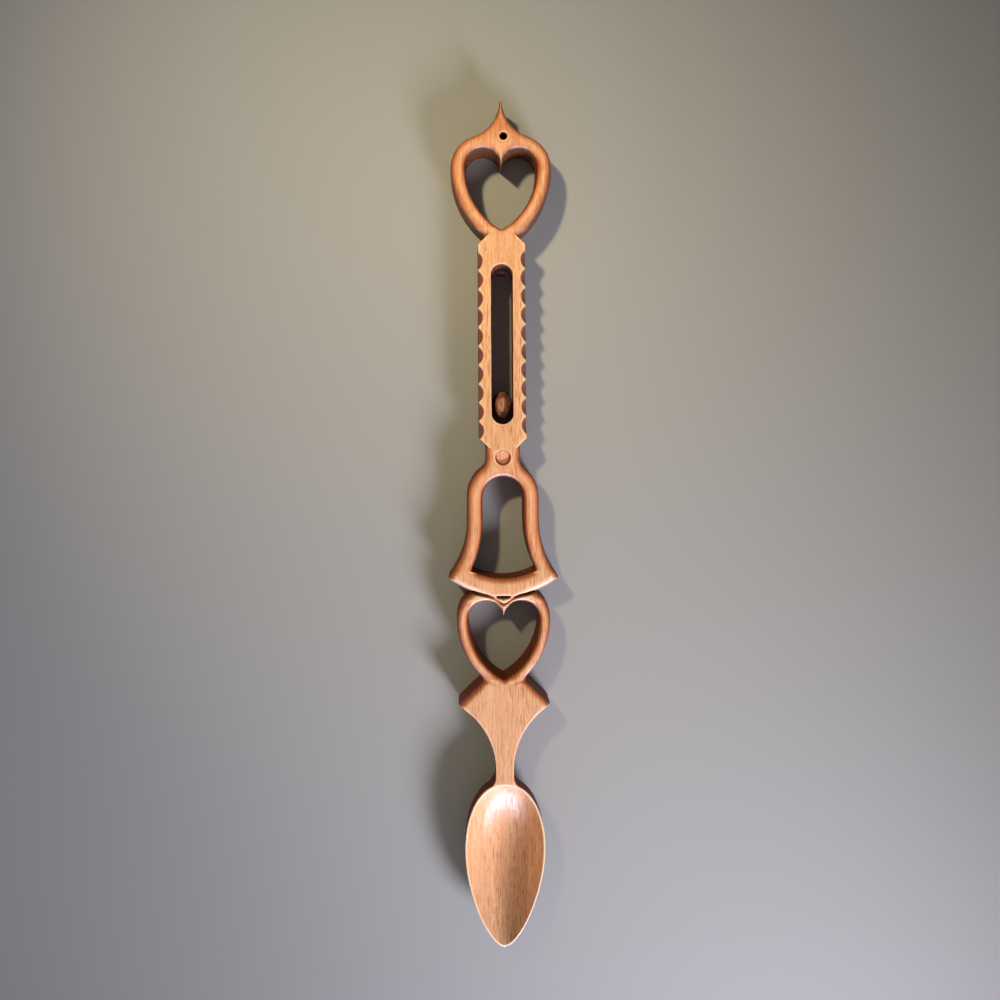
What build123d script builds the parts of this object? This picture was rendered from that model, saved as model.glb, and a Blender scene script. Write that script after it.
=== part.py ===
"""Love spoon cut from one board, with a bead freed from the same wood inside its cage.

Millimetres. The spoon lies on its back: X across, Y up towards the finial, Z out of the carved front.
The back of the board is Z = 0 and the middle of the length is Y = 0.
"""

import os
from math import acos, asin, atan2, degrees, hypot, pi, sin, sqrt

from build123d import *

# Board
board_thickness = 13.0

# Finial and its hanging hole
finial_rise = 24.1
finial_tip_half_width = 0.35
finial_tip_tilt = 3.0
finial_bevel_rise = 4.5
finial_bevel_length = 10.5
hanging_hole_diameter = 2.8
hanging_hole_drop = 13.3
hanging_hole_offset = 0.8

# Hearts: half widths and drops are those of the opening
upper_half_width = 12.9
upper_cusp_rise = 0.9
upper_point_drop = 22.8
upper_point_round = 1.8
upper_limb_width = 5.5
upper_outer_round = 2.8
lower_half_width = 12.8
lower_cusp_rise = 1.2
lower_point_drop = 21.9
lower_point_round = 0.4
lower_limb_width = 4.3
lower_outer_round = 2.2
limb_inner_round = 1.8

# Largest share of a limb's width that each front rounding may take
outer_round_share = 0.53
inner_round_share = 0.42

# Notched bar and the cage inside it
bar_length = 77.1
bar_width = 17.3
bar_corner_cut = 3.6
slot_width = 7.8
slot_top_drop = 10.7
slot_bottom_rise = 8.6
slot_end_slope = 2.6

# Gouge cuts across the two front edges of the bar, spaced by eye on each side
notch_count = 10
notch_pitch_left = 6.80
notch_pitch_right = 6.66
notch_row_drop_left = 6.2
notch_row_drop_right = 5.6
notch_radius = 4.2
notch_depth = 1.6
notch_angle = 30.0

# Captive bead
bead_catch = 0.4
bead_length = 10.4
bead_clearance = 0.3
bead_rest_gap = 2.4

# Waist with its thumbnail cut
waist_length = 4.6
waist_width = 12.3
waist_fillet = 4.0
dimple_diameter = 5.0
dimple_depth = 1.7
dimple_tilt = 22.0
dimple_rise = 1.3

# Bell and clapper nub
bell_height = 49.3
bell_half_width = 13.15
bell_limb_width = 5.75
bell_outer_round = 2.5
bell_inner_round = 1.4
bell_straight = 8.7
bell_flare_radius = 33.5
bell_rim_width = 6.8
bell_rim_radius = 32.1
bell_rim_bevel = 0.7
clapper_radius = 2.3
clapper_drop = 0.7
clapper_inset = 0.5
clapper_slit_width = 0.6
clapper_slit_depth = 1.5

# Lower heart's lobes below the bell's rim
lower_lobe_drop = 7.9

# Shoulder and neck
shoulder_drop = 8.9
shoulder_half_width = 16.7
shoulder_root_half_width = 7.4
shoulder_round = 2.6
shoulder_length = 23.6
heart_seam_inset = 0.8
neck_half_width = 3.3
neck_depth = 9.5
neck_length = 4.8
neck_flare_radius = 4.5
neck_flare_angle = 60.0
neck_flare_rise = 2.4
neck_reach = 8.0

# Bowl
bowl_length = 58.7
bowl_width = 29.0
bowl_hollow_depth = 9.6
bowl_rim = 0.6
bowl_keel_overhang = 6.0
bowl_fullness = 0.57
bowl_lean = 0.75
bowl_profile_steps = 14

# Spare length of a cutter beyond the wood it cuts
spare = 4.0

# Places down the spoon, from the tip of the finial to the tip of the bowl
overall_length = (
    finial_rise + upper_point_drop + limb_inner_round + bar_length + waist_length + bell_height
    + lower_lobe_drop + lower_point_drop + shoulder_drop + shoulder_length + neck_length + bowl_length
)
finial_tip_y = overall_length / 2
hanging_hole_y = finial_tip_y - hanging_hole_drop
upper_lobe_y = finial_tip_y - finial_rise
bar_top_y = upper_lobe_y - upper_point_drop - limb_inner_round
bar_bottom_y = bar_top_y - bar_length
bell_top_y = bar_bottom_y - waist_length
dimple_y = bell_top_y + dimple_rise
bell_crown_y = bell_top_y - bell_half_width
bell_flare_y = bell_crown_y - bell_straight
bell_rim_y = bell_top_y - bell_height
lower_lobe_y = bell_rim_y - lower_lobe_drop
lower_point_y = lower_lobe_y - lower_point_drop
shoulder_y = lower_point_y - shoulder_drop
neck_y = shoulder_y - shoulder_length
bowl_top_y = neck_y - neck_length

# The cage: a slot through the board, and a round channel at half depth that the bead runs in
mid_depth = board_thickness / 2
slot_length = bar_length - slot_top_drop - slot_bottom_rise
slot_bottom_y = bar_bottom_y + slot_bottom_rise
slot_middle_y = slot_bottom_y + slot_length / 2
slot_top_y = slot_bottom_y + slot_length
bead_diameter = slot_width + 2 * bead_catch
channel_radius = bead_diameter / 2 + bead_clearance
channel_length = slot_length - slot_width - slot_end_slope / 2
channel_bottom_y = slot_bottom_y + slot_width / 2
channel_middle_y = channel_bottom_y + channel_length / 2
bead_low_y = channel_bottom_y - channel_radius + bead_clearance + bead_length / 2
bead_y = bead_low_y + bead_rest_gap


def across(path):
    """Plane square to the start of a flat path: local X to the left of travel, local Y out of the front."""
    travel = path % 0
    return Plane(origin=path @ 0, x_dir=Vector(-travel.Y, travel.X, 0), z_dir=travel)


def limb_rounds(width, outer_round, inner_round):
    """Front roundings of a limb, which always leave a narrow crest between them."""
    return min(outer_round, outer_round_share * width), min(inner_round, inner_round_share * width)


def limb_crest(width, outer_round, inner_round):
    """Distance of the crest's middle from the outer side of a limb."""
    outer, inner = limb_rounds(width, outer_round, inner_round)
    return (outer + width - inner) / 2


def limb_section(path, width, outer_round, inner_round):
    """Section of a carved limb: flat back, rounded front. Its outer side is left of travel."""
    outer, inner = limb_rounds(width, outer_round, inner_round)
    half = width / 2
    with BuildSketch(across(path)) as section:
        with BuildLine():
            CenterArc((half - outer, board_thickness - outer), outer, 0, 90)
            Line((half - outer, board_thickness), (inner - half, board_thickness))
            CenterArc((inner - half, board_thickness - inner), inner, 90, 90)
            Polyline((-half, board_thickness - inner), (-half, 0), (half, 0), (half, board_thickness - outer))
        make_face()
    return section.sketch


def round_over(path, radius):
    """Section of the wood to shave off to round a front edge. The outer side is left of travel."""
    with BuildSketch(across(path)) as shaving:
        with Locations((-radius, board_thickness - radius)):
            Rectangle(radius + spare, radius + spare, align=(Align.MIN, Align.MIN))
            Circle(radius, mode=Mode.SUBTRACT)
    return shaving.sketch


def heart_lobe(half_width, cusp_rise):
    """Radius of a heart's lobe and its centre's distance from the axis: both lobes meet at the cusp."""
    radius = (half_width**2 + cusp_rise**2) / (2 * half_width)
    return radius, half_width - radius


def heart_side(half_width, point_drop):
    """Radius of a heart's long side and how far beyond the axis its centre lies."""
    radius = (half_width**2 + point_drop**2) / (2 * half_width)
    return radius, radius - half_width


def heart_ring(lobe_y, half_width, cusp_rise, point_drop, point_round, limb_width, outer_round):
    """One heart: a rounded limb swept from the point up the left side and over the lobe, then mirrored."""
    lobe_radius, lobe_x = heart_lobe(half_width, cusp_rise)
    side_radius, side_x = heart_side(half_width, point_drop)
    side_angle = degrees(acos(side_x / (side_radius - point_round)))
    point_y = lobe_y - sqrt((side_radius - point_round) ** 2 - side_x**2)
    with BuildLine() as half_heart:
        CenterArc((0, point_y), point_round + limb_width / 2, 270, side_angle - 90)
        CenterArc((side_x, lobe_y), side_radius + limb_width / 2, 180 + side_angle, -side_angle)
        CenterArc((-lobe_x, lobe_y), lobe_radius + limb_width / 2, 180, -180)
    path = half_heart.wires()[0]
    with BuildPart() as ring:
        sweep(limb_section(path, limb_width, outer_round, limb_inner_round), path=path)
        split(bisect_by=Plane.YZ, keep=Keep.BOTTOM)
        mirror(about=Plane.YZ)
    return ring.part


def finial():
    """Ogee spire above the upper heart, flush with the crest of its lobes."""
    lobe_radius, lobe_x = heart_lobe(upper_half_width, upper_cusp_rise)
    outer_radius = lobe_radius + upper_limb_width
    crest_radius = outer_radius - limb_crest(upper_limb_width, upper_outer_round, limb_inner_round)
    lobe = Vector(lobe_x, upper_lobe_y)
    tip = Vector(finial_tip_half_width, finial_tip_y)
    inward = Vector(1, 0).rotate(Axis.Z, finial_tip_tilt)
    rise = tip - lobe
    flank_radius = (rise.length**2 - outer_radius**2) / (2 * (outer_radius - rise.dot(inward)))
    flank_center = tip + inward * flank_radius
    outward = (flank_center - lobe).normalized()
    flank_angle = degrees(atan2(outward.Y, outward.X))
    axis_angle = 180 - degrees(acos(lobe_x / crest_radius))
    axis_y = upper_lobe_y + sqrt(crest_radius**2 - lobe_x**2)
    with BuildLine() as flank:
        CenterArc(flank_center, flank_radius, 180 + finial_tip_tilt, flank_angle - finial_tip_tilt)
    path = flank.wires()[0]
    outer_round = limb_rounds(upper_limb_width, upper_outer_round, limb_inner_round)[0]
    bevel = Plane(
        origin=(0, finial_tip_y, finial_bevel_rise),
        x_dir=(1, 0, 0),
        z_dir=(0, -finial_bevel_rise, finial_bevel_length),
    )
    with BuildPart() as spire:
        with BuildSketch():
            with BuildLine():
                add(flank.line)
                Line(lobe + outward * outer_radius, lobe + outward * crest_radius)
                CenterArc(lobe, crest_radius, flank_angle, axis_angle - flank_angle)
                Polyline((0, axis_y), (0, finial_tip_y), tip)
            make_face()
        extrude(amount=board_thickness)
        sweep(round_over(path, outer_round), path=path, mode=Mode.SUBTRACT)
        mirror(about=Plane.YZ)
        split(bisect_by=bevel, keep=Keep.TOP)
    return spire.part


def slot_cut():
    """The cage's slot: its top end slopes down towards the back, from round in front to straight behind."""
    slope = Vector(0, slot_end_slope, board_thickness)
    with BuildPart() as cut:
        with BuildSketch():
            with Locations((0, slot_middle_y)):
                SlotOverall(slot_length, slot_width, rotation=90)
        extrude(amount=board_thickness)
        with BuildSketch():
            with Locations((0, slot_middle_y - slot_end_slope)):
                SlotOverall(slot_length, slot_width, rotation=90)
        extrude(amount=slope.length, dir=slope.normalized(), mode=Mode.INTERSECT)
        with BuildSketch(Plane.YZ):
            with BuildLine():
                Polyline(
                    (slot_middle_y, 0),
                    (slot_top_y - slot_end_slope, 0),
                    (slot_top_y - slot_width / 2, board_thickness),
                    (slot_middle_y, board_thickness),
                    close=True,
                )
            make_face()
        extrude(amount=slot_width / 2, both=True)
    return cut.part


def notched_bar():
    """Flat bar with gouged front edges, slotted through and hollowed for the bead."""
    lift = Vector(notch_radius - notch_depth, 0, 0).rotate(Axis.Y, -notch_angle)
    rows = (
        (-1, notch_pitch_left, notch_row_drop_left),
        (1, notch_pitch_right, notch_row_drop_right),
    )
    with BuildPart() as bar:
        with BuildSketch() as outline:
            with Locations((0, bar_top_y - bar_length / 2)):
                Rectangle(bar_width, bar_length)
            chamfer(outline.vertices(), bar_corner_cut)
        extrude(amount=board_thickness)
        for side, pitch, row_drop in rows:
            row_x = side * (bar_width / 2 + lift.X)
            row_y = bar_top_y - row_drop - pitch * notch_count / 2
            with Locations((row_x, row_y, board_thickness + lift.Z)):
                with GridLocations(0, pitch, 1, notch_count):
                    across_edge = (0, -side * notch_angle, 0)
                    Cylinder(notch_radius, bar_width, rotation=across_edge, mode=Mode.SUBTRACT)
        add(slot_cut(), mode=Mode.SUBTRACT)
        with Locations((0, channel_middle_y, mid_depth)):
            Cylinder(channel_radius, channel_length, rotation=(90, 0, 0), mode=Mode.SUBTRACT)
            with GridLocations(0, channel_length, 1, 2):
                Sphere(channel_radius, mode=Mode.SUBTRACT)
    return bar.part


def bell():
    """Bell outline as a rounded limb with a broad curved rim, bevelled below out to the tips of the lips."""
    crest = limb_crest(bell_limb_width, bell_outer_round, bell_inner_round)
    limb_x = bell_half_width - bell_limb_width / 2
    flare_x = bell_half_width + bell_flare_radius
    flare_angle = degrees(asin(min(1, (bell_flare_y - bell_rim_y) / bell_flare_radius)))
    limb_radius = bell_flare_radius + bell_limb_width / 2
    rim_center_y = bell_rim_y + bell_rim_radius
    with BuildLine() as half_bell:
        CenterArc((-flare_x, bell_flare_y), limb_radius, -flare_angle, flare_angle)
        Line((-limb_x, bell_flare_y), (-limb_x, bell_crown_y))
        CenterArc((0, bell_crown_y), limb_x, 180, -90)
    path = half_bell.wires()[0]
    with BuildPart() as lower_edge:
        with Locations((0, rim_center_y, 0)):
            Cylinder(bell_rim_radius, board_thickness, align=(Align.CENTER, Align.CENTER, Align.MIN))
        chamfer(lower_edge.edges().group_by(Axis.Z)[-1], bell_rim_bevel)
    with BuildPart() as outline:
        sweep(limb_section(path, bell_limb_width, bell_outer_round, bell_inner_round), path=path)
        mirror(about=Plane.YZ)
        with BuildSketch():
            with Locations((0, rim_center_y)):
                Circle(bell_rim_radius)
                Circle(bell_rim_radius - bell_rim_width, mode=Mode.SUBTRACT)
            with Locations((-flare_x, bell_flare_y), (flare_x, bell_flare_y)):
                Circle(bell_flare_radius + crest, mode=Mode.SUBTRACT)
            with Locations((0, bell_flare_y)):
                Rectangle(2 * flare_x, bell_height, align=(Align.CENTER, Align.MAX), mode=Mode.INTERSECT)
        extrude(amount=board_thickness)
        add(lower_edge.part, mode=Mode.INTERSECT)
    return outline.part


def waist():
    """Waist between bar and bell, swept out into the bell's crown and flat down to the crown's crest."""
    outer_round = limb_rounds(bell_limb_width, bell_outer_round, bell_inner_round)[0]
    crest_radius = bell_half_width - limb_crest(bell_limb_width, bell_outer_round, bell_inner_round)
    waist_height = bar_bottom_y + bar_corner_cut - bell_crown_y
    with BuildPart() as block:
        with BuildSketch() as outline:
            with Locations((0, bell_crown_y)):
                Circle(bell_half_width)
                Rectangle(
                    2 * bell_half_width, bell_half_width, align=(Align.CENTER, Align.MIN), mode=Mode.INTERSECT
                )
                Rectangle(waist_width, waist_height, align=(Align.CENTER, Align.MIN))
            fillet(outline.vertices().group_by(Axis.Y)[1], waist_fillet)
        extrude(amount=board_thickness)
        front = block.faces().sort_by(Axis.Z)[-1]
        fillet(front.edges().filter_by(Axis.X, reverse=True), outer_round)
        with Locations((0, bell_crown_y, 0)):
            Cylinder(
                crest_radius,
                board_thickness,
                align=(Align.CENTER, Align.CENTER, Align.MIN),
                mode=Mode.SUBTRACT,
            )
    return block.part


def clapper():
    """Nub of the clapper below the middle of the rim."""
    with BuildPart() as nub:
        with Locations((0, bell_rim_y - clapper_drop, 0)):
            Cylinder(
                clapper_radius, board_thickness - clapper_inset, align=(Align.CENTER, Align.CENTER, Align.MIN)
            )
    return nub.part


def shoulder():
    """Kite-shaped shoulder running down into the neck, its upper edges rounded and its back scooped.

    Its flat front stops at a seam just inside the lower heart's outer edge, where that rounding falls away.
    """
    side_radius, side_x = heart_side(lower_half_width, lower_point_drop)
    seam_radius = side_radius + lower_limb_width - heart_seam_inset
    hollow_x = shoulder_half_width - neck_half_width
    hollow_radius = (hollow_x**2 + shoulder_length**2) / (2 * hollow_x)
    hollow_angle = degrees(asin(shoulder_length / hollow_radius))
    root = Vector(shoulder_root_half_width, lower_point_y)
    corner = Vector(shoulder_half_width, shoulder_y)
    edge_overrun = (corner - root).normalized() * spare
    flare_x = neck_half_width + neck_flare_radius
    flare_y = bowl_top_y + neck_flare_rise
    flare_end = Vector(-neck_flare_radius, 0).rotate(Axis.Z, neck_flare_angle) + Vector(flare_x, flare_y)
    neck_end_y = bowl_top_y - neck_reach
    with BuildLine() as upper_edge:
        Line(root - edge_overrun, corner + edge_overrun)
    path = upper_edge.wires()[0]
    scoop_depth = hypot(shoulder_half_width, board_thickness) - neck_depth
    scoop_radius = (scoop_depth**2 + shoulder_length**2) / (2 * scoop_depth)
    scoop_angle = degrees(asin(shoulder_length / scoop_radius))
    front = Plane(origin=(0, 0, board_thickness), x_dir=(0, 1, 0), z_dir=(1, 0, 0))
    with BuildPart() as scooped_back:
        with BuildSketch(front):
            with BuildLine():
                CenterArc((neck_y, -neck_depth - scoop_radius), scoop_radius, 90, -scoop_angle)
                Polyline(
                    (shoulder_y, -neck_depth - scoop_depth),
                    (lower_point_y, -neck_depth - scoop_depth),
                    (lower_point_y, 0),
                    (neck_end_y, 0),
                    (neck_end_y, -neck_depth),
                    (neck_y, -neck_depth),
                )
            make_face()
        revolve(axis=Axis((0, 0, board_thickness), (0, 1, 0)))
    with BuildPart() as kite:
        with BuildSketch():
            with BuildLine():
                Polyline((0, lower_point_y), root, corner)
                CenterArc((neck_half_width + hollow_radius, neck_y), hollow_radius, 180, -hollow_angle)
                Line((neck_half_width, neck_y), (neck_half_width, flare_y))
                CenterArc((flare_x, flare_y), neck_flare_radius, 180, neck_flare_angle)
                Polyline(flare_end, (flare_end.X, neck_end_y), (0, neck_end_y), (0, lower_point_y))
            make_face()
        extrude(amount=board_thickness)
        sweep(round_over(path, shoulder_round), path=path, mode=Mode.SUBTRACT)
        mirror(about=Plane.YZ)
        add(scooped_back.part, mode=Mode.INTERSECT)
        with BuildSketch():
            with Locations((side_x, lower_lobe_y)):
                Circle(seam_radius)
            with Locations((-side_x, lower_lobe_y)):
                Circle(seam_radius, mode=Mode.INTERSECT)
        extrude(amount=board_thickness, mode=Mode.SUBTRACT)
    return kite.part


def egg_outline(top_y, length, half_width):
    """Places along the bowl and its half width there, closest together at the two ends."""
    stations = []
    for step in range(bowl_profile_steps + 1):
        along = sin(pi / 2 * step / bowl_profile_steps) ** 2
        half = half_width * max(0, sin(pi * along**bowl_lean)) ** bowl_fullness
        stations.append((top_y - length * along, half))
    return stations


def turned_egg(top_y, length, half_width, depth):
    """Egg turned about an axis above the rim, so that it has the given outline and depth at the rim."""
    axis_lift = (half_width**2 - depth**2) / (2 * depth)
    profile = [(y, hypot(half, axis_lift)) for y, half in egg_outline(top_y, length, half_width)]
    side = Plane(origin=(0, 0, board_thickness + axis_lift), x_dir=(0, 1, 0), z_dir=(1, 0, 0))
    with BuildPart() as egg:
        with BuildSketch(side):
            with BuildLine():
                Spline(*profile)
                Polyline(profile[-1], (top_y - length, 0), (top_y, 0), profile[0])
            make_face()
        revolve(axis=Axis(side.origin, (0, 1, 0)))
    return egg.part


def bowl():
    """Outside of the bowl: straight sides in an egg outline, cut off below by a broad turned keel."""
    keel = turned_egg(
        bowl_top_y + bowl_keel_overhang,
        bowl_length + 2 * bowl_keel_overhang,
        bowl_width / 2 + bowl_keel_overhang,
        board_thickness,
    )
    edge = [(half, y) for y, half in egg_outline(bowl_top_y, bowl_length, bowl_width / 2)]
    with BuildPart() as body:
        with BuildSketch():
            with BuildLine():
                Spline(*edge)
                Line(edge[-1], edge[0])
            make_face()
            mirror(about=Plane.YZ)
        extrude(amount=board_thickness)
        add(keel, mode=Mode.INTERSECT)
    return body.part


with BuildPart() as carved_spoon:
    add(
        heart_ring(
            upper_lobe_y, upper_half_width, upper_cusp_rise, upper_point_drop, upper_point_round,
            upper_limb_width, upper_outer_round,
        )
    )
    add(finial())
    add(notched_bar())
    add(waist())
    add(bell())
    add(
        heart_ring(
            lower_lobe_y, lower_half_width, lower_cusp_rise, lower_point_drop, lower_point_round,
            lower_limb_width, lower_outer_round,
        )
    )
    add(clapper())
    add(shoulder())
    with Locations((hanging_hole_offset, hanging_hole_y, board_thickness)):
        Hole(hanging_hole_diameter / 2)
    with Locations((0, dimple_y, board_thickness - dimple_depth / 2)):
        Cylinder(
            dimple_diameter / 2,
            spare,
            rotation=(dimple_tilt, 0, 0),
            align=(Align.CENTER, Align.CENTER, Align.MIN),
            mode=Mode.SUBTRACT,
        )
    with Locations((0, bell_rim_y, board_thickness)):
        Box(2 * clapper_radius, clapper_slit_width, 2 * clapper_slit_depth, mode=Mode.SUBTRACT)
    add(bowl())
    add(
        turned_egg(
            bowl_top_y - bowl_rim, bowl_length - 2 * bowl_rim, bowl_width / 2 - bowl_rim, bowl_hollow_depth
        ),
        mode=Mode.SUBTRACT,
    )
carved_spoon.part.label = "carved_spoon"

with BuildPart() as captive_bead:
    with BuildSketch(Plane(origin=(0, bead_y, mid_depth), x_dir=(0, 1, 0), z_dir=(1, 0, 0))):
        SlotOverall(bead_length, bead_diameter)
        Rectangle(bead_length, bead_diameter, align=(Align.CENTER, Align.MIN), mode=Mode.INTERSECT)
    revolve(axis=Axis((0, bead_y, mid_depth), (0, 1, 0)))
captive_bead.part.label = "captive_bead"

os.makedirs("parts", exist_ok=True)
export_step(carved_spoon.part, "parts/carved_spoon.step")
export_step(captive_bead.part, "parts/captive_bead.step")
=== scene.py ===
# %% [markdown]
# # A love spoon, carved from one board
#
# A love spoon is whittled from a single piece of wood: a pierced finial to hang it by, open hearts, a bar that is
# also a cage for a loose bead, an open bell, and a small bowl. This lesson dresses its measured solids: the frame
# below brings in the spoon and its bead at their true size and place, in metres, and nothing here moves them.

# %% Load the measured frame
from math import atan2, pi, radians

import bmesh
import bpy
from mathutils import Matrix, Vector


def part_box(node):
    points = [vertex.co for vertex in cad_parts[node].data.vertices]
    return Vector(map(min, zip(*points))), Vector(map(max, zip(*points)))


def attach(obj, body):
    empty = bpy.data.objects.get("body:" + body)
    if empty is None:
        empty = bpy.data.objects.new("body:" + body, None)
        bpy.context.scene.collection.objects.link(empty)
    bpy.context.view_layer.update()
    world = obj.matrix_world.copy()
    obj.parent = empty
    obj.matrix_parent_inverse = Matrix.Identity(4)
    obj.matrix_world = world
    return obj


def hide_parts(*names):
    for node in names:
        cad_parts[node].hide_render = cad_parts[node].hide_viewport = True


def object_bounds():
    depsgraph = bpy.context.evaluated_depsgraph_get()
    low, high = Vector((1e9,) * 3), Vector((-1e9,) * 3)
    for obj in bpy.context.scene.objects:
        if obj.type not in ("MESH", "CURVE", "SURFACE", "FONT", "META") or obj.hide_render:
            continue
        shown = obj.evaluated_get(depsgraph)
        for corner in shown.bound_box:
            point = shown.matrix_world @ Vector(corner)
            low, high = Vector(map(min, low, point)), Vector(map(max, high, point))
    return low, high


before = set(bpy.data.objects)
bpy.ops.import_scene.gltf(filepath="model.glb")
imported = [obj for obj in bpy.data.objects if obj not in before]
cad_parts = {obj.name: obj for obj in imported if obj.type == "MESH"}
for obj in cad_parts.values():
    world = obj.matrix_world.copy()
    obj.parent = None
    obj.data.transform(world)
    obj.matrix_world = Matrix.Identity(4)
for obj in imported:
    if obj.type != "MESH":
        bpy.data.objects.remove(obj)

scene = bpy.context.scene
cad_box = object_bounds()
print("solids:", sorted(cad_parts), "box:", [[round(v, 4) for v in corner] for corner in cad_box])

# %% [markdown]
# ## Camera
#
# The photograph was taken from close above the bar, a little to its left, so each wall that faces the bar shows: the
# tops of the hearts' openings and the upper sides of shoulder and bowl. The camera stands over that point, turns to
# bring the spoon to the middle of the picture, and shifts its frame down so that the two ends keep their scale.

# %% Camera over the spoon
camera_place = Vector((-0.011, 0.03345, 0.324))
aim_x = -0.001
front_z = cad_box[1][2]
picture_roll = 0.0063
sensor_width = 36.0
focal_length = 31.12
frame_shift = -0.0700

camera_data = bpy.data.cameras.new("camera")
camera_data.sensor_width = sensor_width
camera_data.lens = focal_length
camera_data.shift_y = frame_shift
camera = bpy.data.objects.new("camera", camera_data)
scene.collection.objects.link(camera)
yaw = atan2(aim_x - camera_place.x, camera_place.z - front_z)
camera.matrix_world = (
    Matrix.Translation(camera_place) @ Matrix.Rotation(-yaw, 4, "Y") @ Matrix.Rotation(-picture_roll, 4, "Z")
)
scene.camera = camera
print("camera turned by", round(yaw, 4), "rad")

# %% [markdown]
# ## Floor
#
# The spoon lies on its flat back. A plain pale floor is enough to carry its shadows, and it lies a hair below the
# wood, so that the two surfaces never share a plane.

# %% Floor
floor_size = 6.0
floor_drop = 0.0002
floor_color = (0.36, 0.38, 0.40, 1)
floor_roughness = 0.85

bpy.ops.mesh.primitive_plane_add(size=floor_size, location=(0, 0, -floor_drop))
floor = bpy.context.object
floor.name = "pale_floor"
floor_material = bpy.data.materials.new("pale_floor")
floor_material.use_nodes = True
floor_shader = floor_material.node_tree.nodes["Principled BSDF"]
floor_shader.inputs["Base Color"].default_value = floor_color
floor_shader.inputs["Roughness"].default_value = floor_roughness
floor.data.materials.append(floor_material)
print("floor of", floor_size, "m")

# %% [markdown]
# ## Light
#
# Three soft lights stand for the room: a warm lamp near the finial, up to the left, which throws the hearts' shadows
# to the lower right, a window on the lower right, whose light falls across the bowl and leaves its right half in
# shade, and a low window beyond the bowl. Lamp and side window have a narrow spread, so that each lights its own end
# of the spoon, and they draw no gleam. The low window does only that: it lights nothing, but its reflection lies on
# every surface that faces it, above all at the top of the bowl's hollow.

# %% Lights
def soft_light(name, place, target, size, power, color, spread=pi, gleams=False):
    """An area light that faces a point of the spoon. It either lights the wood, or only gleams on its finish."""
    data = bpy.data.lights.new(name, "AREA")
    data.shape = "RECTANGLE"
    data.size, data.size_y = size
    data.energy = power
    data.color = color
    data.spread = spread
    light = bpy.data.objects.new(name, data)
    light.location = place
    light.rotation_euler = (Vector(target) - Vector(place)).to_track_quat("-Z", "Y").to_euler()
    light.visible_glossy = gleams
    light.visible_diffuse = not gleams
    scene.collection.objects.link(light)


soft_light(
    "lamp",
    place=(-0.29, 0.37, 0.50),
    target=(0, 0.105, 0),
    size=(0.05, 0.05),
    power=0.170,
    color=(1.0, 0.79, 0.42),
    spread=radians(40),
)
soft_light(
    "side_window",
    place=(0.32, -0.49, 0.29),
    target=(0, -0.08, 0.01),
    size=(0.18, 0.18),
    power=0.64,
    color=(1.0, 0.94, 1.0),
    spread=radians(60),
)
soft_light(
    "low_window",
    place=(0.08, -0.65, 0.17),
    target=(0, -0.10, 0),
    size=(0.90, 0.32),
    power=8.0,
    color=(0.90, 0.92, 1.40),
    gleams=True,
)
print("lights:", [light.name for light in bpy.data.lights])

# %% Light of the room
room_color = (1.0, 0.89, 0.78, 1)
room_strength = 0.19

world = bpy.data.worlds.new("room")
world.use_nodes = True
background = world.node_tree.nodes["Background"]
background.inputs["Color"].default_value = room_color
background.inputs["Strength"].default_value = room_strength
scene.world = world
scene.view_settings.view_transform = "Standard"
print("room light:", room_strength)

# %% [markdown]
# ## Small helpers for node trees
#
# Every material and every Geometry Nodes tree below is wired in code. A few helpers keep that short: one adds a node
# and fills its inputs, with a plain value or with a link, one opens a new node group with named sockets, and the rest
# do sums and soft steps. A socket can be named or counted, because a Math node calls all its inputs "Value".

# %% Helpers: nodes and groups
def add_node(tree, kind, inputs=None, **settings):
    """A node in a tree. An input gets a link where its value is another node's socket."""
    node = tree.nodes.new(kind)
    for name, value in settings.items():
        setattr(node, name, value)
    for name, value in (inputs or {}).items():
        if isinstance(value, bpy.types.NodeSocket):
            tree.links.new(value, node.inputs[name])
        else:
            node.inputs[name].default_value = value
    return node


def new_group(name, kind, inputs, outputs):
    """A node group with named sockets, and its input and output nodes."""
    group = bpy.data.node_groups.new(name, kind)
    for socket_name, socket_type, value in inputs:
        socket = group.interface.new_socket(socket_name, in_out="INPUT", socket_type=socket_type)
        if value is not None:
            socket.default_value = value
    for socket_name, socket_type in outputs:
        group.interface.new_socket(socket_name, in_out="OUTPUT", socket_type=socket_type)
    return group, group.nodes.new("NodeGroupInput").outputs, group.nodes.new("NodeGroupOutput").inputs


print("helpers: add_node, new_group")

# %% Helpers: sums and soft steps
def calc(tree, operation, first, second=0.0, clamp=False):
    """The result of a sum on two values or sockets."""
    node = add_node(tree, "ShaderNodeMath", {0: first, 1: second}, operation=operation, use_clamp=clamp)
    return node.outputs[0]


def product(tree, first, *others):
    """Several values or sockets multiplied, from left to right."""
    result = first
    for other in others:
        result = calc(tree, "MULTIPLY", result, other)
    return result


def ramp(tree, value, low, high, to_low=0.0, to_high=1.0):
    """A soft step: the value's run from low to high becomes a smooth run between two others."""
    inputs = {"Value": value, "From Min": low, "From Max": high, "To Min": to_low, "To Max": to_high}
    return add_node(tree, "ShaderNodeMapRange", inputs, interpolation_type="SMOOTHSTEP").outputs["Result"]


print("helpers: calc, product, ramp")

# %% [markdown]
# ## Wood figure
#
# The wood is a close-grained red-brown hardwood. Four things make its figure: broad bands where the growth changed,
# fine fibres along the length, small flecks that catch the light, and short dark pores. Each is a noise stretched
# along the grain, on Object coordinates, so that the figure runs through the piece as through a real board. The group
# is built once, and the spoon and its bead use it with their own colours.

# %% Helpers: stretched noise and blended colours
def vector_calc(tree, operation, inputs, result="Vector"):
    """The result of a sum on vectors."""
    return add_node(tree, "ShaderNodeVectorMath", inputs, operation=operation).outputs[result]


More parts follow.
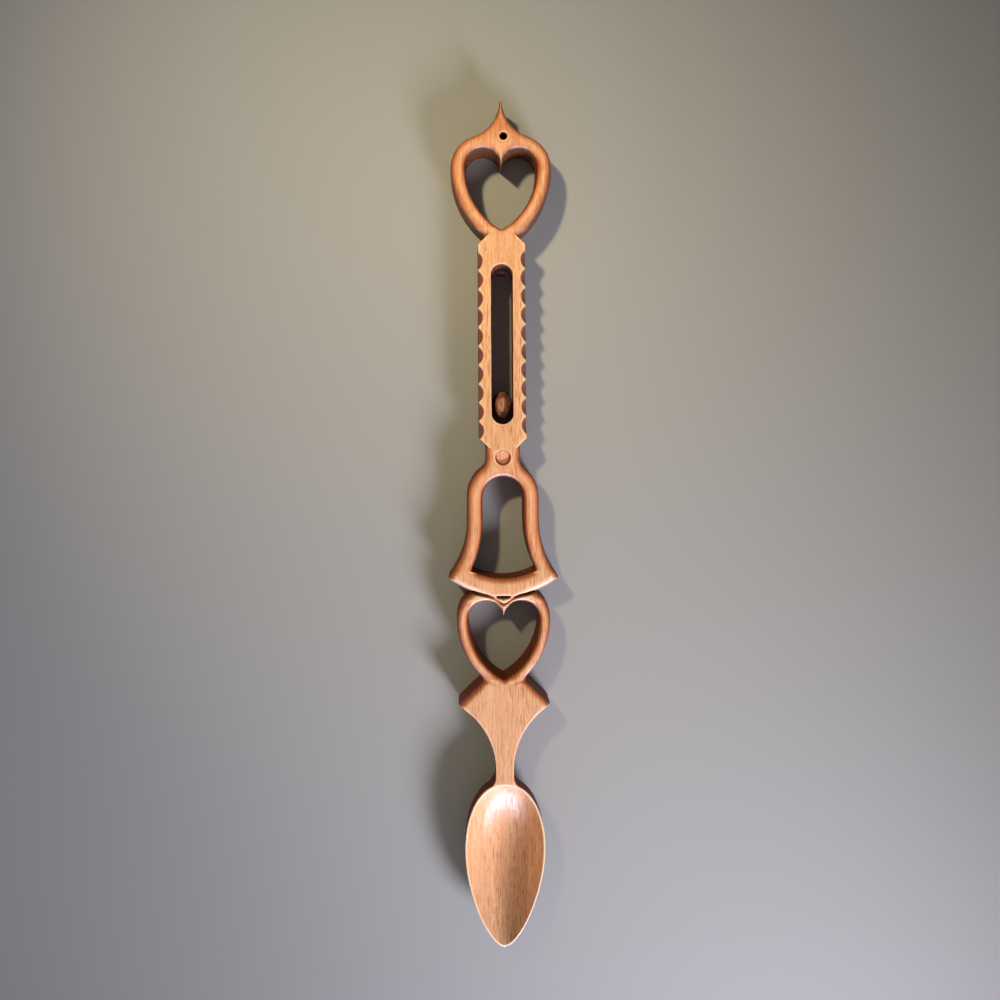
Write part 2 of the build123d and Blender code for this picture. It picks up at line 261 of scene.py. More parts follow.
def stretched_noise(tree, vector, scale, detail):
    """Noise from 0 to 1, as a value and as a colour, on a position that is first scaled by three factors."""
    grid = vector_calc(tree, "MULTIPLY", {0: vector, 1: scale})
    return add_node(tree, "ShaderNodeTexNoise", {"Vector": grid, "Scale": 1.0, "Detail": detail}).outputs


def mix_color(tree, share, first, second, blend="MIX"):
    """Two colours blended by a share of the second. The sockets are counted, because their names repeat."""
    node = add_node(tree, "ShaderNodeMix", data_type="RGBA", blend_type=blend)
    for place, value in ((0, share), (6, first), (7, second)):
        tree.links.new(value, node.inputs[place])
    return node.outputs[2]


print("helpers: vector_calc, stretched_noise, mix_color")

# %% Shader group: wood figure
band_grid = (330, 9, 90)
fibre_grid = (2200, 60, 400)
fleck_grid = (1700, 650, 900)
pore_grid = (2700, 190, 400)
patch_grid = (90, 25, 60)
pore_run = (0.53, 0.66)
patch_run = (0.30, 0.65)
patch_shares = (0.20, 0.75)
fibre_height = 0.5

figure, figure_in, figure_out = new_group(
    "Wood figure",
    "ShaderNodeTree",
    (
        ("Vector", "NodeSocketVector", None),
        ("Pale", "NodeSocketColor", (0.95, 0.58, 0.34, 1)),
        ("Deep", "NodeSocketColor", (0.68, 0.34, 0.17, 1)),
        ("Pore", "NodeSocketColor", (0.46, 0.17, 0.06, 1)),
    ),
    (("Color", "NodeSocketColor"), ("Height", "NodeSocketFloat")),
)
grain = figure_in["Vector"]
bands = stretched_noise(figure, grain, band_grid, 2.0)[0]
fibres = stretched_noise(figure, grain, fibre_grid, 3.0)[0]
flecks = stretched_noise(figure, grain, fleck_grid, 2.0)[0]
pore_noise = stretched_noise(figure, grain, pore_grid, 1.0)[0]
patches = stretched_noise(figure, grain, patch_grid, 1.0)[0]
pores = product(figure, ramp(figure, pore_noise, *pore_run), ramp(figure, patches, *patch_run, *patch_shares))
tone = 0.0
# Each layer: its noise, the run of the noise that counts, and its share of the tone
for noise, low, high, share in ((bands, 0.30, 0.70, 0.30), (fibres, 0.34, 0.64, 0.48), (flecks, 0.36, 0.62, 0.22)):
    tone = calc(figure, "ADD", tone, product(figure, ramp(figure, noise, low, high), share))
body_color = mix_color(figure, tone, figure_in["Deep"], figure_in["Pale"])
figure.links.new(mix_color(figure, pores, body_color, figure_in["Pore"]), figure_out["Color"])
figure.links.new(calc(figure, "SUBTRACT", product(figure, fibres, fibre_height), pores), figure_out["Height"])
print("wood figure:", len(figure.nodes), "nodes")

# %% [markdown]
# ## A handled finish, with painted light and shade
#
# Oil soaks the thin finial through and handling wears the edges pale, and this group also paints light and shade
# into the colour: painted shade turns the rounded flanks a deeper orange and the walls a deep brown, the grooves are
# made darker, the edges get a painted highlight on top of their wear, and the crests of the limbs a painted
# highlight.
# Flanks and walls are found by the way the surface faces, in Object coordinates, and edges and grooves by a "relief"
# attribute that the carving measures: how many millimetres a point stands out of its surroundings. The bowl's hollow
# is polished all over, so there the tilt counts for nothing and it gets no painted flank shade. The group puts out a
# colour, a roughness and a share of gleam, which fails on the steep walls, for any colour of wood.

# %% Shader group: sockets of the handled finish and painted light
finish_and_light, finish_in, finish_out = new_group(
    "Handled finish and painted light",
    "ShaderNodeTree",
    (
        ("Color", "NodeSocketColor", (0.7, 0.4, 0.2, 1)),
        ("Height", "NodeSocketFloat", 0.0),
        ("Facing", "NodeSocketVector", None),
        ("Relief", "NodeSocketFloat", 0.0),
        ("Hollow", "NodeSocketFloat", 0.0),
        ("Soaked", "NodeSocketFloat", 0.0),
        ("Tilt Shade And Soak", "NodeSocketColor", (0.80, 0.42, 0.23, 1)),
        ("Wall Shade", "NodeSocketColor", (0.23, 0.165, 0.125, 1)),
        ("Groove Darkening", "NodeSocketColor", (0.24, 0.16, 0.14, 1)),
        ("Wear And Highlight", "NodeSocketColor", (0.98, 0.74, 0.50, 1)),
        ("Edge Wear And Highlight Share", "NodeSocketFloat", 0.75),
        ("Crest Highlight Share", "NodeSocketFloat", 0.75),
        ("Gloss Roughness", "NodeSocketFloat", 0.36),
    ),
    (("Color", "NodeSocketColor"), ("Roughness", "NodeSocketFloat"), ("Gleam", "NodeSocketFloat")),
)
print("handled finish:", len(finish_and_light.interface.items_tree), "sockets")

# %% [markdown]
# ## Where painted shade, painted highlights, soak and wear lie
#
# Each mark gets a mask from 0 to 1. Tilt finds the flanks for painted shade, which is weaker on the sides that face
# down the spoon, as a painted reflection of the low light there. The share of the surface that looks up finds the
# walls for painted shade, and relief finds the darker grooves, the edges and the gentle crests of the limbs. Soft
# steps keep every border blurred.

# %% Helpers: parts of a vector and two more steps
def separate(tree, vector):
    """The three parts of a vector."""
    return add_node(tree, "ShaderNodeSeparateXYZ", {"Vector": vector}).outputs


def fading(tree, value, low, high):
    """A soft step down: 1 up to low, 0 from high on."""
    return ramp(tree, value, low, high, 1.0, 0.0)


def slope(tree, value, low, high, to_low=0.0, to_high=1.0):
    """A straight step: the value's run from low to high becomes an even run between two others."""
    inputs = {"Value": value, "From Min": low, "From Max": high, "To Min": to_low, "To Max": to_high}
    return add_node(tree, "ShaderNodeMapRange", inputs).outputs["Result"]


print("helpers: separate, fading, slope")

# %% Shader group: masks of the painted shade, painted highlights, soak and wear
polish_upward = (0.05, 0.25)
shade_tilt = (0.0, 0.58)
sheen_facing = (-0.60, -0.10)
sheen_shares = (0.35, 1.0)
wall_shade_upward = (0.38, 0.95)
groove_relief = (-0.28, -0.05)
edge_relief = (0.14, 0.28)
crest_highlight_relief = (0.03, 0.10)

_, facing_along, facing_up = separate(finish_and_light, finish_in["Facing"])
polished = product(finish_and_light, finish_in["Hollow"], ramp(finish_and_light, facing_up, *polish_upward))
upward = calc(finish_and_light, "MAXIMUM", facing_up, polished)
tilt = calc(finish_and_light, "SQRT", calc(finish_and_light, "SUBTRACT", 1.0, product(finish_and_light, upward, upward), clamp=True))
# Painted shade on tilted flanks, weakened on faces that look down the spoon as a painted reflection; the soaked
# finial is real tone
painted_tilt_shade = product(
    finish_and_light, slope(finish_and_light, tilt, *shade_tilt), ramp(finish_and_light, facing_along, *sheen_facing, *sheen_shares)
)
tilt_shade_and_soak = calc(finish_and_light, "MAXIMUM", painted_tilt_shade, finish_in["Soaked"])
# Painted shade on the walls, which also makes them duller
painted_wall_shade = fading(finish_and_light, upward, *wall_shade_upward)
# Grooves are made darker and duller
groove = fading(finish_and_light, finish_in["Relief"], *groove_relief)
edge = ramp(finish_and_light, finish_in["Relief"], *edge_relief)
# Painted highlight on the crests of the limbs
crest_highlight = product(finish_and_light, ramp(finish_and_light, finish_in["Relief"], *crest_highlight_relief), calc(finish_and_light, "SUBTRACT", 1.0, tilt_shade_and_soak))
print("masks of the finish:", len(finish_and_light.nodes), "nodes so far")

# %% Shader group: colour with painted shade and highlights, roughness and gleam
fibre_gloss = 0.10
polish_gloss = 0.06
groove_dullness = 0.25
wall_dullness = 0.35
gleam_upward = (0.10, 0.55)

shaded_and_soaked = mix_color(finish_and_light, tilt_shade_and_soak, finish_in["Color"], finish_in["Tilt Shade And Soak"], "MULTIPLY")
wall_shaded = mix_color(finish_and_light, painted_wall_shade, shaded_and_soaked, finish_in["Wall Shade"], "MULTIPLY")
dark = mix_color(finish_and_light, groove, wall_shaded, finish_in["Groove Darkening"], "MULTIPLY")
# Edges get the pale colour as real wear and a painted highlight; crests get it only as a painted highlight
worn_and_lit_edge = calc(finish_and_light, "MULTIPLY", product(finish_and_light, edge, finish_in["Edge Wear And Highlight Share"]), upward, clamp=True)
wear_and_highlight_share = calc(finish_and_light, "MAXIMUM", worn_and_lit_edge, product(finish_and_light, crest_highlight, finish_in["Crest Highlight Share"]))
satin = calc(finish_and_light, "SUBTRACT", finish_in["Gloss Roughness"], product(finish_and_light, finish_in["Height"], fibre_gloss))
shine = calc(finish_and_light, "SUBTRACT", satin, product(finish_and_light, polished, polish_gloss))
dull = calc(finish_and_light, "ADD", shine, product(finish_and_light, groove, groove_dullness))
roughness = calc(finish_and_light, "ADD", dull, product(finish_and_light, painted_wall_shade, wall_dullness), clamp=True)
finish_and_light.links.new(mix_color(finish_and_light, wear_and_highlight_share, dark, finish_in["Wear And Highlight"]), finish_out["Color"])
finish_and_light.links.new(roughness, finish_out["Roughness"])
finish_and_light.links.new(ramp(finish_and_light, upward, *gleam_upward), finish_out["Gleam"])
print("handled finish:", len(finish_and_light.nodes), "nodes")

# %% [markdown]
# ## Two woods from one board
#
# Spoon and bead come from the same board, but the bead is given darker, duller wood colours and a darker painted
# shade on its flanks. Both materials place the two groups and feed the shader's own sockets: colour, roughness, a
# share of clear coat for the oil, and a fine bump.

# %% Materials for the spoon and the bead
bump_strength = 0.35
bump_depth = 0.00012
hollow_top_y = -0.0935
hollow_edge = 0.0020
soaked_from_y = 0.1330
soaked_full_y = 0.1450
soaked_share = 0.75
coat_roughness = 0.42
specular_level = 0.5


def wood_material(name, coat, figure_values, finish_values):
    """A wood: its figure under its finish and painted light, with the figure's height as a fine bump and a share of
    clear coat.
    """
    material = bpy.data.materials.new(name)
    material.use_nodes = True
    tree = material.node_tree
    place = add_node(tree, "ShaderNodeTexCoord").outputs
    height_up = separate(tree, place["Object"])[1]
    grown = add_node(tree, "ShaderNodeGroup", {"Vector": place["Object"], **figure_values}, node_tree=figure).outputs
    inputs = {
        "Color": grown["Color"],
        "Height": grown["Height"],
        "Facing": place["Normal"],
        "Relief": add_node(tree, "ShaderNodeAttribute", attribute_name="relief").outputs["Fac"],
        "Hollow": fading(tree, height_up, hollow_top_y - hollow_edge, hollow_top_y),
        "Soaked": ramp(tree, height_up, soaked_from_y, soaked_full_y, 0.0, soaked_share),
        **finish_values,
    }
    handled = add_node(tree, "ShaderNodeGroup", inputs, node_tree=finish_and_light).outputs
    bump = {"Strength": bump_strength, "Distance": bump_depth, "Height": grown["Height"]}
    shader = tree.nodes["Principled BSDF"]
    shader.inputs["Coat Roughness"].default_value = coat_roughness
    shader.inputs["Specular IOR Level"].default_value = specular_level
    tree.links.new(handled["Color"], shader.inputs["Base Color"])
    tree.links.new(handled["Roughness"], shader.inputs["Roughness"])
    tree.links.new(product(tree, handled["Gleam"], coat), shader.inputs["Coat Weight"])
    tree.links.new(add_node(tree, "ShaderNodeBump", bump).outputs["Normal"], shader.inputs["Normal"])
    return material


carved_wood = wood_material("carved_wood", 1.0, {}, {})
bead_wood = wood_material(
    "bead_wood",
    0.1,
    {"Pale": (0.90, 0.56, 0.38, 1), "Deep": (0.62, 0.34, 0.21, 1), "Pore": (0.28, 0.13, 0.08, 1)},
    # The bead's Flank colour is its painted flank shade, darker than the spoon's
    {"Tilt Shade And Soak": (0.34, 0.23, 0.18, 1), "Edge Wear And Highlight Share": 0.35, "Crest Highlight Share": 0.0, "Gloss Roughness": 0.55},
)
print("woods:", carved_wood.name, bead_wood.name)

# %% [markdown]
# ## An even skin to carve
#
# The measured spoon comes as long thin triangles, right for a solid but useless to a carver: a small dent needs
# points under it. A merged copy gets a voxel skin, which spreads points evenly over the whole surface and softens
# every edge by a fraction of a millimetre, much as sanding and years of handling do.

# %% Copy the measured spoon and give it an even skin
merge_distance = 1e-6
spoon_voxel = 0.0003


def merged_copy(node_name, piece_name):
    """A copy of a measured solid whose loose triangles are joined."""
    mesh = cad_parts[node_name].data.copy()
    mesh.materials.clear()
    work = bmesh.new()
    work.from_mesh(mesh)
    bmesh.ops.remove_doubles(work, verts=work.verts, dist=merge_distance)
    work.to_mesh(mesh)
    work.free()
    piece = bpy.data.objects.new(piece_name, mesh)
    scene.collection.objects.link(piece)
    return piece


def add_skin(piece, voxel):
    """Give a piece a voxel skin."""
    skin = piece.modifiers.new("even skin", "REMESH")
    skin.mode = "VOXEL"
    skin.voxel_size = voxel
    skin.use_smooth_shade = True


spoon = merged_copy("carved_spoon", "hand_carved_spoon")
add_skin(spoon, spoon_voxel)
print("spoon copied:", len(spoon.data.polygons), "triangles before its skin")

# %% [markdown]
# ## Lines cut with the point of the knife
#
# Where two forms meet flush, the carver draws a fine V cut to part them: between the bell's rim and the heart below
# it, dipping round the clapper's nub, and straight across the nub where the clapper enters the bell. The lines are
# drawn here as curves through a few points, mirrored like the spoon, and the carving tree further down sinks the
# wood along them.

# %% Guide for the cut lines
millimetre = 0.001
nub_line = ((0.0, -29.5), (1.3, -28.9), (3.4, -27.3), (5.6, -26.45), (8.6, -25.85), (11.0, -25.2))
slit_line = ((0.0, -26.95), (2.1, -26.95))


def guide_curve(name, half_lines):
    """A curve object at the front of the board: each half line in millimetres, and its mirror image."""
    data = bpy.data.curves.new(name, "CURVE")
    data.dimensions = "3D"
    for half_line in half_lines:
        for side in (1, -1):
            spline = data.splines.new("POLY")
            spline.points.add(len(half_line) - 1)
            for point, (x, y) in zip(spline.points, half_line):
                point.co = (side * x * millimetre, y * millimetre, front_z, 1)
    guide = bpy.data.objects.new(name, data)
    scene.collection.objects.link(guide)
    return guide


cut_guide = guide_curve("cut_guide", (nub_line, slit_line))
print("cut lines:", len(cut_guide.data.splines))

# %% [markdown]
# ## Carving by rule
#
# No two strokes of a knife are alike, so a hand-cut surface is never quite flat and never quite even. Sculpting it by
# hand would give a surface that nobody could repeat, so a Geometry Nodes tree does it by rule, with an input for each
# thing that a carver would decide. The next cells build it step by step. All of them ask where a point lies, so that
# comes first: its place, and soft masks over a stretch of the spoon's length or round a place on its front.

# %% Geometry Nodes: inputs of the hand carving
carving, carve, carved = new_group(
    "Hand carving",
    "GeometryNodeTree",
    (
        ("Geometry", "NodeSocketGeometry", None),
        ("Cut Guide", "NodeSocketObject", None),
        ("Cut Depth", "NodeSocketFloat", 0.0009),
        ("Cut Half Width", "NodeSocketFloat", 0.00075),
        ("Stroke Depth", "NodeSocketFloat", 0.00012),
        ("Stroke Count", "NodeSocketVector", (260.0, 90.0, 260.0)),
        ("Drift", "NodeSocketFloat", 0.00025),
        ("Bowl Lean", "NodeSocketFloat", 0.0004),
        ("Rim Crown", "NodeSocketFloat", 1.0),
        ("Seam Fill", "NodeSocketFloat", 1.0),
        ("Ring Depth", "NodeSocketFloat", 0.0003),
        ("Softening", "NodeSocketInt", 1),
        ("Limb Rounding", "NodeSocketInt", 60),
        ("Channel Height", "NodeSocketFloat", 0.0065),
        ("Material", "NodeSocketMaterial", None),
    ),
    (("Geometry", "NodeSocketGeometry"),),
)
print("hand carving:", len(carving.interface.items_tree), "sockets")

# %% Geometry Nodes: where a point lies
front_skin = (0.0035, 0.0020)
front_half = (0.0075, 0.0015)

position = add_node(carving, "GeometryNodeInputPosition").outputs[0]
normal = add_node(carving, "GeometryNodeInputNormal").outputs[0]
at_x, at_y, at_z = separate(carving, position)
off_axis = calc(carving, "ABSOLUTE", at_x)
near_front, fading_down = (
    ramp(carving, at_z, front_z - deepest, front_z - full) for deepest, full in (front_skin, front_half)
)


def between(start, full, fade, end):
    """A mask over a stretch of the spoon's length, soft at both ends."""
    return product(carving, ramp(carving, at_y, start, full), fading(carving, at_y, fade, end))


def combine(tree, **parts):
    """A vector from the parts X, Y and Z. A part that isn't given is 0."""
    return add_node(tree, "ShaderNodeCombineXYZ", parts).outputs[0]


def distance_from(place):
    """How far each point is from a place on the front, measured across the board."""
    to_x, to_y = (calc(carving, "SUBTRACT", at, start) for at, start in zip((at_x, at_y), place))
    return vector_calc(carving, "LENGTH", {0: combine(carving, X=to_x, Y=to_y)}, "Value")


print("places of the carving:", len(carving.nodes), "nodes so far")

# %% [markdown]
# ## Sanding
#
# The limbs of hearts and bell are rounded until they feel like a rope in the hand, while cusps, holes and flat faces
# keep their edges. A blur of the points' positions does to a mesh what sandpaper does to wood. One pass takes the
# sharpness off everything, and many passes round the limbs, under a mask that leaves out the cusps, the hanging hole
# and the back.

# %% Geometry Nodes: sanding
upper_heart_stretch = (0.1055, 0.1085, 0.1440, 0.1470)
lower_heart_stretch = (-0.0580, -0.0550, -0.0300, -0.0275)
bell_stretch = (-0.0185, -0.0155, 0.0190, 0.0225)
beside_cusp = (0.0015, 0.0035)
above_cusp = (0.1365, 0.1390)
hole_place = (0.0008, 0.13945)
round_hole = (0.0017, 0.0032)
above_back = (0.004, 0.008)

soft_position, round_position = (
    add_node(
        carving,
        "GeometryNodeBlurAttribute",
        {"Value": position, "Iterations": carve[passes]},
        data_type="FLOAT_VECTOR",
    ).outputs[0]
    for passes in ("Softening", "Limb Rounding")
)
off_cusp = calc(carving, "MAXIMUM", ramp(carving, off_axis, *beside_cusp), ramp(carving, at_y, *above_cusp))
upper_limbs = product(carving, between(*upper_heart_stretch), off_cusp)
lower_limbs = product(carving, between(*lower_heart_stretch), off_cusp)
limbs = calc(carving, "ADD", calc(carving, "ADD", upper_limbs, lower_limbs), between(*bell_stretch))
off_hole = ramp(carving, distance_from(hole_place), *round_hole)
on_limbs = product(carving, limbs, product(carving, off_hole, ramp(carving, at_z, *above_back)))
sanded_position = add_node(
    carving, "ShaderNodeMix", {0: on_limbs, 4: soft_position, 5: round_position}, data_type="VECTOR"
).outputs[1]
sanded = add_node(
    carving, "GeometryNodeSetPosition", {"Geometry": carve["Geometry"], "Position": sanded_position}
).outputs[0]
print("sanding:", len(carving.nodes), "nodes so far")

# %% [markdown]
# ## Strokes of the knife
#
# Long shallow facets run along the grain, the whole surface drifts a little from true, and the bowl's tip leans a
# fraction of a millimetre. The first two are noises, a fine one along the normal and a slow one in the plane. The
# flat back and the channel that the bead runs in are left alone, so that the spoon still lies flat and the bead still
# slides.

# %% Geometry Nodes: strokes, drift and lean
off_back_rise = (0.0003, 0.0012)
cage_stretch = (0.026, 0.032, 0.098, 0.104)
round_channel = (0.0049, 0.0062)
drift_grid = (30, 45, 30)
drift_shares = (1, 1, 0.25)
noise_middle = 0.5
lean_stretch = (-0.153, -0.112)

from_channel = combine(carving, X=at_x, Z=calc(carving, "SUBTRACT", at_z, carve["Channel Height"]))
channel_distance = vector_calc(carving, "LENGTH", {0: from_channel}, "Value")
near_channel = product(carving, between(*cage_stretch), fading(carving, channel_distance, *round_channel))
may_carve = product(carving, ramp(carving, at_z, *off_back_rise), calc(carving, "SUBTRACT", 1.0, near_channel))

stroke_noise = stretched_noise(carving, position, carve["Stroke Count"], 1.0)[0]
stroke = product(carving, calc(carving, "SUBTRACT", stroke_noise, noise_middle), carve["Stroke Depth"], may_carve)
stroke_offset = vector_calc(carving, "SCALE", {0: normal, "Scale": stroke})

drift_noise = stretched_noise(carving, position, drift_grid, 0.0)[1]
drift_centred = vector_calc(carving, "SUBTRACT", {0: drift_noise, 1: (noise_middle,) * 3})
drift_flat = vector_calc(carving, "MULTIPLY", {0: drift_centred, 1: drift_shares})
drift_offset = vector_calc(carving, "SCALE", {0: drift_flat, "Scale": product(carving, carve["Drift"], may_carve)})

lean_offset = combine(carving, X=product(carving, fading(carving, at_y, *lean_stretch), carve["Bowl Lean"], -1.0))
print("strokes:", len(carving.nodes), "nodes so far")

# %% [markdown]
# ## V cuts along the guide
#
# A V cut is deepest on its line and rises evenly to both sides. Geometry Proximity gives each point's distance from
# the guide, once the point is lifted to the guide's own height, and an even fall over half the cut's width makes the
# V. Only the front of the board is cut: the walls below stay as they are.

# %% Geometry Nodes: V cuts
cut_line = add_node(carving, "GeometryNodeObjectInfo", {"Object": carve["Cut Guide"]}).outputs["Geometry"]
cut_edges = add_node(carving, "GeometryNodeCurveToMesh", {"Curve": cut_line}).outputs[0]
above_guide = combine(carving, X=at_x, Y=at_y, Z=front_z)
cut_distance = add_node(
    carving, "GeometryNodeProximity", {"Geometry": cut_edges, "Sample Position": above_guide}, target_element="EDGES"
).outputs["Distance"]
cut_slope = calc(carving, "DIVIDE", cut_distance, carve["Cut Half Width"])
cut_profile = calc(carving, "SUBTRACT", 1.0, cut_slope, clamp=True)
cut_offset = combine(carving, Z=product(carving, cut_profile, near_front, carve["Cut Depth"], -1.0))
print("V cuts:", len(carving.nodes), "nodes so far")

# %% [markdown]
# ## The bell's rim
#
# The rim is an arc that swells towards the eye: its inner edge is rounded over, and a bevel along its lower edge
# catches the light. Both follow the arc, so they are worked out from the distance to its centre, as a drop of the
# front that fades on the way down the walls. The bevel is weaker in the middle, where the clapper's nub begins.

# %% Geometry Nodes: crown and bevel of the rim
rim_center = (0.0, 0.00515)
rim_outer_radius = 0.0321
rim_inner_radius = 0.0253
rim_inner_round = 0.0026
rim_bevel_width = 0.0018
rim_bevel_slope = 0.55
crown_stretch = (-0.0270, -0.0262, -0.0185, -0.0175)
crown_reach = (0.009, 0.013)
bevel_stretch = (-0.0274, -0.0272, -0.0185, -0.0175)
bevel_reach = (0.004, 0.011)
bevel_shares = (0.3, 1.0)
past_rim = (rim_outer_radius + 0.0001, rim_outer_radius + 0.0004)

rim_radius = distance_from(rim_center)
to_inner = calc(carving, "SUBTRACT", rim_inner_radius + rim_inner_round, rim_radius, clamp=True)
inner_drop = calc(carving, "DIVIDE", product(carving, to_inner, to_inner), 2 * rim_inner_round)
inner_share = product(carving, fading(carving, off_axis, *crown_reach), between(*crown_stretch))
bevel_drop = slope(
    carving, rim_radius, rim_outer_radius - rim_bevel_width, rim_outer_radius, 0.0, rim_bevel_width * rim_bevel_slope
)
bevel_run = product(carving, between(*bevel_stretch), ramp(carving, off_axis, *bevel_reach, *bevel_shares))
bevel_share = product(carving, fading(carving, rim_radius, *past_rim), bevel_run)
rim_drop = calc(
    carving, "ADD", product(carving, inner_drop, inner_share), product(carving, bevel_drop, bevel_share)
)
crown_offset = combine(carving, Z=product(carving, rim_drop, fading_down, carve["Rim Crown"], -1.0))
print("rim:", len(carving.nodes), "nodes so far")

# %% [markdown]
# ## A filled seam and a ring
#
# Two small things finish the front. Where the lower heart meets the shoulder, the carver left no dip between them, so
# the seam is raised to the front. In the waist, the point of a knife went once round the dimple, so a shallow ring
# completes it.

# %% Geometry Nodes: seam and ring
seam_reach = (0.0045, 0.0090)
seam_stretch = (-0.0635, -0.0618, -0.0590, -0.0575)
dimple_place = (0.0, 0.0236)
dimple_radius = 0.00245
ring_half_width = 0.0005

on_seam = product(carving, fading(carving, off_axis, *seam_reach), near_front, between(*seam_stretch))
below_front = calc(carving, "SUBTRACT", front_z, at_z)
seam_offset = combine(carving, Z=product(carving, below_front, on_seam, carve["Seam Fill"]))

off_ring = calc(carving, "ABSOLUTE", calc(carving, "SUBTRACT", distance_from(dimple_place), dimple_radius))
ring_profile = fading(carving, off_ring, 0.0, ring_half_width)
ring_offset = combine(carving, Z=product(carving, ring_profile, near_front, carve["Ring Depth"], -1.0))
print("seam and ring:", len(carving.nodes), "nodes so far")

# %% [markdown]
# ## The carving put together
#
# All offsets are added and the points moved once. Then the tree measures how far each point stands out of its
# surroundings, by comparing it with a blurred copy along the normal, and stores that as the "relief" attribute that
# the finish uses for the worn and highlighted edges, the painted crest highlights and the darker grooves.

# %% Geometry Nodes: the finished carving
relief_passes = 10
millimetres_per_metre = 1000.0

offset = stroke_offset
for part in (drift_offset, lean_offset, cut_offset, crown_offset, seam_offset, ring_offset):
    offset = vector_calc(carving, "ADD", {0: offset, 1: part})
cut_wood = add_node(carving, "GeometryNodeSetPosition", {"Geometry": sanded, "Offset": offset}).outputs[0]

around = add_node(
    carving, "GeometryNodeBlurAttribute", {"Value": position, "Iterations": relief_passes}, data_type="FLOAT_VECTOR"
).outputs[0]
step_out = vector_calc(carving, "SUBTRACT", {0: position, 1: around})
height_out = vector_calc(carving, "DOT_PRODUCT", {0: step_out, 1: normal}, "Value")
relief = product(carving, height_out, millimetres_per_metre)
measured = add_node(
    carving,
    "GeometryNodeStoreNamedAttribute",
    {"Geometry": cut_wood, "Name": "relief", "Value": relief},
    data_type="FLOAT",
    domain="POINT",
).outputs[0]
whole = add_node(carving, "GeometryNodeRealizeInstances", {"Geometry": measured}).outputs[0]
finished = add_node(
    carving, "GeometryNodeSetMaterial", {"Geometry": whole, "Material": carve["Material"]}
).outputs[0]
carving.links.new(finished, carved["Geometry"])
print("carving tree:", len(carving.nodes), "nodes")

# %% [markdown]
# ## From tree to plain mesh
#
# A modifier's inputs are set by their identifiers, then the evaluated piece is turned into a plain mesh, so nothing
# is left to change when another program opens it. A Decimate modifier comes last: it takes points away where the wood
# is flat and keeps them where the knife turned.

# %% Carve the spoon
triangle_share = 0.28


def add_tree(piece, name, tree, values):
    """Run a Geometry Nodes tree on a piece, with its inputs set by the sockets' identifiers."""
    modifier = piece.modifiers.new(name, "NODES")
    modifier.node_group = tree
    for item in tree.interface.items_tree:
        if item.item_type == "SOCKET" and item.in_out == "INPUT" and item.name in values:
            modifier[item.identifier] = values[item.name]


def make_plain(piece):
    """Turn what a piece's modifiers make into its own plain mesh."""
    bpy.context.view_layer.update()
    depsgraph = bpy.context.evaluated_depsgraph_get()
    made = piece.evaluated_get(depsgraph)
    mesh = bpy.data.meshes.new_from_object(made, preserve_all_data_layers=True, depsgraph=depsgraph)
    piece.modifiers.clear()
    piece.data = mesh
    for polygon in mesh.polygons:
        polygon.use_smooth = True


add_tree(spoon, "hand carving", carving, {"Cut Guide": cut_guide, "Material": carved_wood})
thinner = spoon.modifiers.new("fewer points", "DECIMATE")
thinner.ratio = triangle_share
thinner.use_collapse_triangulate = True
make_plain(spoon)
bpy.data.objects.remove(cut_guide)
print("carved spoon:", len(spoon.data.polygons), "triangles")

# %% [markdown]
# ## The captive bead
#
# The bead is cut loose inside the cage with the point of the knife, so it is never quite round: long flat facets run
# from end to end. A Geometry Nodes tree sets rings of points along the bead, each ring a little uneven, and takes
# their convex hull, which gives just such facets. It stays inside the measured bead, so it still slides freely.

# %% Geometry Nodes: rings of the whittled bead
bead_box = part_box("captive_bead")
bead_low, bead_high = (Vector(corner) for corner in bead_box)
bead_middle = (bead_low + bead_high) / 2
bead_size = bead_high - bead_low
ring_reach = 0.96
end_fullness = 2.4
girth_power = 0.42

whittling, whittle, whittled = new_group(
    "Whittled bead",
    "GeometryNodeTree",
    (
        ("Geometry", "NodeSocketGeometry", None),
        ("Length", "NodeSocketFloat", 0.0104),
        ("Diameter", "NodeSocketFloat", 0.0086),
        ("Middle", "NodeSocketVector", (0.0, 0.0, 0.0)),
        ("Rings", "NodeSocketInt", 5),
        ("Facets", "NodeSocketInt", 7),
        ("Turn", "NodeSocketFloat", 0.35),
        ("Unevenness", "NodeSocketFloat", 0.10),
        ("Seed", "NodeSocketInt", 4),
        ("Material", "NodeSocketMaterial", None),
    ),
    (("Geometry", "NodeSocketGeometry"),),
)
end_reach = product(whittling, whittle["Length"], ring_reach / 2)
line_ends = {
    "Start Location": combine(whittling, Y=product(whittling, end_reach, -1.0)),
    "Offset": combine(whittling, Y=end_reach),
}
ring_line = add_node(
    whittling, "GeometryNodeMeshLine", {"Count": whittle["Rings"], **line_ends}, mode="END_POINTS"
).outputs[0]

ring_index = add_node(whittling, "GeometryNodeInputIndex").outputs[0]
ring_part = calc(whittling, "DIVIDE", ring_index, calc(whittling, "SUBTRACT", whittle["Rings"], 1.0))
along = calc(whittling, "SUBTRACT", product(whittling, ring_part, 2 * ring_reach), ring_reach)
end_round = calc(whittling, "POWER", calc(whittling, "ABSOLUTE", along), end_fullness)
ring_share = calc(whittling, "POWER", calc(whittling, "SUBTRACT", 1.0, end_round), girth_power)
ring = add_node(
    whittling,
    "GeometryNodeMeshCircle",
    {"Vertices": whittle["Facets"], "Radius": product(whittling, whittle["Diameter"], 0.5)},
).outputs[0]
rings = add_node(
    whittling,
    "GeometryNodeInstanceOnPoints",
    {
        "Points": ring_line,
        "Instance": ring,
        "Rotation": combine(whittling, X=radians(90), Y=whittle["Turn"]),
        "Scale": combine(whittling, X=ring_share, Y=ring_share, Z=1.0),
    },
).outputs[0]
print("bead rings:", len(whittling.nodes), "nodes so far")

